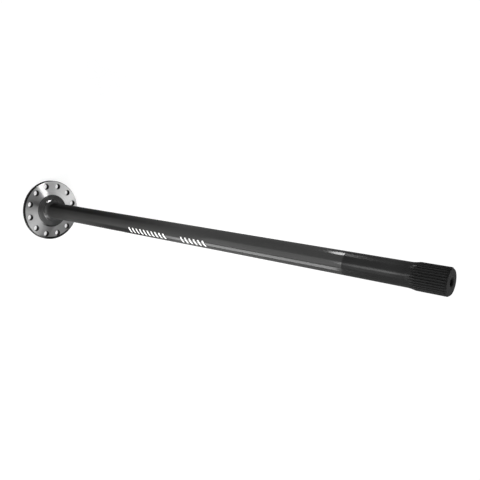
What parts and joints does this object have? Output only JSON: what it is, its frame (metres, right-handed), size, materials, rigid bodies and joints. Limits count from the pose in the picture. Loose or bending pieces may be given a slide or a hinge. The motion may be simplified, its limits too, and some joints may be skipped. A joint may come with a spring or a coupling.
{
  "type": "axle shaft",
  "caption": "One-piece forged axle shaft: a round bolt flange, a filleted boss, a long plain shaft and a splined end that takes drive to a wheel hub.",
  "frame": {"origin": "centre of the flange's outer face, on which the part stands", "axes": "+Z along the shaft from the flange to the spline, +X through the centre of a bolt hole"},
  "size_m": [0.17, 0.17, 1.168],
  "materials": {
    "forged_steel": "satin"
  },
  "bodies": {
    "root": {"axle_shaft": "forged_steel"}
  },
  "joints": []
}
